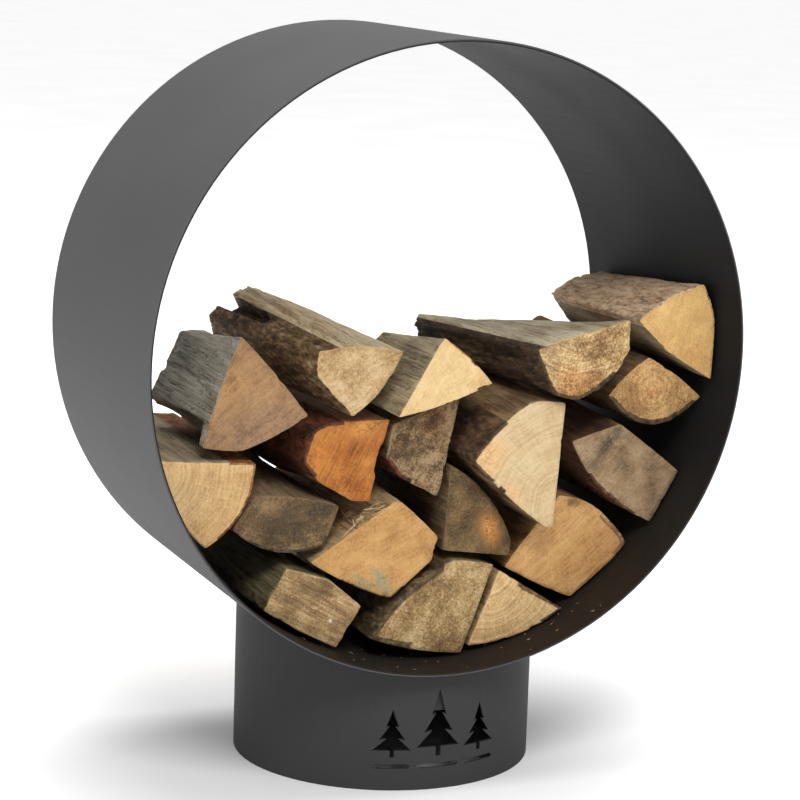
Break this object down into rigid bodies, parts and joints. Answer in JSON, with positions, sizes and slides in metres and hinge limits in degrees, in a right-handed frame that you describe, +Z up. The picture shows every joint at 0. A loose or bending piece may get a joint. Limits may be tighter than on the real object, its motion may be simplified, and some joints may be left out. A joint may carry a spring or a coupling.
{
  "type": "firewood log rack",
  "caption": "Open steel drum lying on its side on a short round pedestal, stocked with split firewood logs that draw out of its front mouth.",
  "frame": {"origin": "on the floor, under the centre of the pedestal", "axes": "+Z up, the drum's axis along Y, its front mouth facing -Y, +X to the right seen from the front"},
  "size_m": [0.6, 0.33, 0.717],
  "materials": {
    "drum_paint": "matte anthracite powder coat",
    "pedestal_paint": "matte anthracite powder coat",
    "zinc_steel": "zinc plated",
    "wood_pale": "freshly split pale hardwood",
    "wood_tan": "split tan hardwood with bark",
    "wood_grey": "weathered grey-brown split wood",
    "wood_orange": "orange-brown split wood"
  },
  "bodies": {
    "root": {"drum_hoop": "drum_paint", "pedestal_tube": "pedestal_paint", "base_ring": "pedestal_paint", "saddle_strap": "pedestal_paint", "bolt_1": "zinc_steel", "bolt_2": "zinc_steel", "bolt_3": "zinc_steel", "bolt_4": "zinc_steel", "washer_1": "zinc_steel", "washer_2": "zinc_steel", "washer_3": "zinc_steel", "washer_4": "zinc_steel", "nut_1": "zinc_steel", "nut_2": "zinc_steel", "nut_3": "zinc_steel", "nut_4": "zinc_steel"},
    "split_log_left_upper": {"log_left_upper": "wood_grey"},
    "split_log_knotty_top": {"log_knotty_top": "wood_tan"},
    "split_log_pale_wedge": {"log_pale_wedge": "wood_pale"},
    "split_log_top_half": {"log_top_half": "wood_tan"},
    "split_log_right_upper": {"log_right_upper": "wood_pale"},
    "split_log_right_round": {"log_right_round": "wood_tan"},
    "split_log_right_block": {"log_right_block": "wood_grey"},
    "split_log_centre_quarter": {"log_centre_quarter": "wood_pale"},
    "split_log_centre_block": {"log_centre_block": "wood_grey"},
    "split_log_orange": {"log_orange": "wood_orange"},
    "split_log_left_slab": {"log_left_slab": "wood_grey"},
    "split_log_left_half": {"log_left_half": "wood_pale"},
    "split_log_bottom_block": {"log_bottom_block": "wood_grey"},
    "split_log_low_tan": {"log_low_tan": "wood_tan"},
    "split_log_bottom_quarter": {"log_bottom_quarter": "wood_tan"},
    "split_log_bottom_wedge": {"log_bottom_wedge": "wood_pale"},
    "split_log_right_tan": {"log_right_tan": "wood_orange"},
    "split_log_centre_dark": {"log_centre_dark": "wood_grey"}
  },
  "joints": [
    {"name": "draw_out_left_upper", "type": "slide", "parent": "root", "child": "split_log_left_upper", "axis": [0, -1, 0], "range_m": [0, 0.32]},
    {"name": "draw_out_knotty_top", "type": "slide", "parent": "root", "child": "split_log_knotty_top", "axis": [0, -1, 0], "range_m": [0, 0.32]},
    {"name": "draw_out_pale_wedge", "type": "slide", "parent": "root", "child": "split_log_pale_wedge", "axis": [0, -1, 0], "range_m": [0, 0.32]},
    {"name": "draw_out_top_half", "type": "slide", "parent": "root", "child": "split_log_top_half", "axis": [0, -1, 0], "range_m": [0, 0.32]},
    {"name": "draw_out_right_upper", "type": "slide", "parent": "root", "child": "split_log_right_upper", "axis": [0, -1, 0], "range_m": [0, 0.32]},
    {"name": "draw_out_right_round", "type": "slide", "parent": "root", "child": "split_log_right_round", "axis": [0, -1, 0], "range_m": [0, 0.32]},
    {"name": "draw_out_right_block", "type": "slide", "parent": "root", "child": "split_log_right_block", "axis": [0, -1, 0], "range_m": [0, 0.32]},
    {"name": "draw_out_centre_quarter", "type": "slide", "parent": "root", "child": "split_log_centre_quarter", "axis": [0, -1, 0], "range_m": [0, 0.32]},
    {"name": "draw_out_centre_block", "type": "slide", "parent": "root", "child": "split_log_centre_block", "axis": [0, -1, 0], "range_m": [0, 0.32]},
    {"name": "draw_out_orange", "type": "slide", "parent": "root", "child": "split_log_orange", "axis": [0, -1, 0], "range_m": [0, 0.32]},
    {"name": "draw_out_left_slab", "type": "slide", "parent": "root", "child": "split_log_left_slab", "axis": [0, -1, 0], "range_m": [0, 0.32]},
    {"name": "draw_out_left_half", "type": "slide", "parent": "root", "child": "split_log_left_half", "axis": [0, -1, 0], "range_m": [0, 0.32]},
    {"name": "draw_out_bottom_block", "type": "slide", "parent": "root", "child": "split_log_bottom_block", "axis": [0, -1, 0], "range_m": [0, 0.32]},
    {"name": "draw_out_low_tan", "type": "slide", "parent": "root", "child": "split_log_low_tan", "axis": [0, -1, 0], "range_m": [0, 0.32]},
    {"name": "draw_out_bottom_quarter", "type": "slide", "parent": "root", "child": "split_log_bottom_quarter", "axis": [0, -1, 0], "range_m": [0, 0.32]},
    {"name": "draw_out_bottom_wedge", "type": "slide", "parent": "root", "child": "split_log_bottom_wedge", "axis": [0, -1, 0], "range_m": [0, 0.32]},
    {"name": "draw_out_right_tan", "type": "slide", "parent": "root", "child": "split_log_right_tan", "axis": [0, -1, 0], "range_m": [0, 0.32]},
    {"name": "draw_out_centre_dark", "type": "slide", "parent": "root", "child": "split_log_centre_dark", "axis": [0, -1, 0], "range_m": [0, 0.32]}
  ]
}
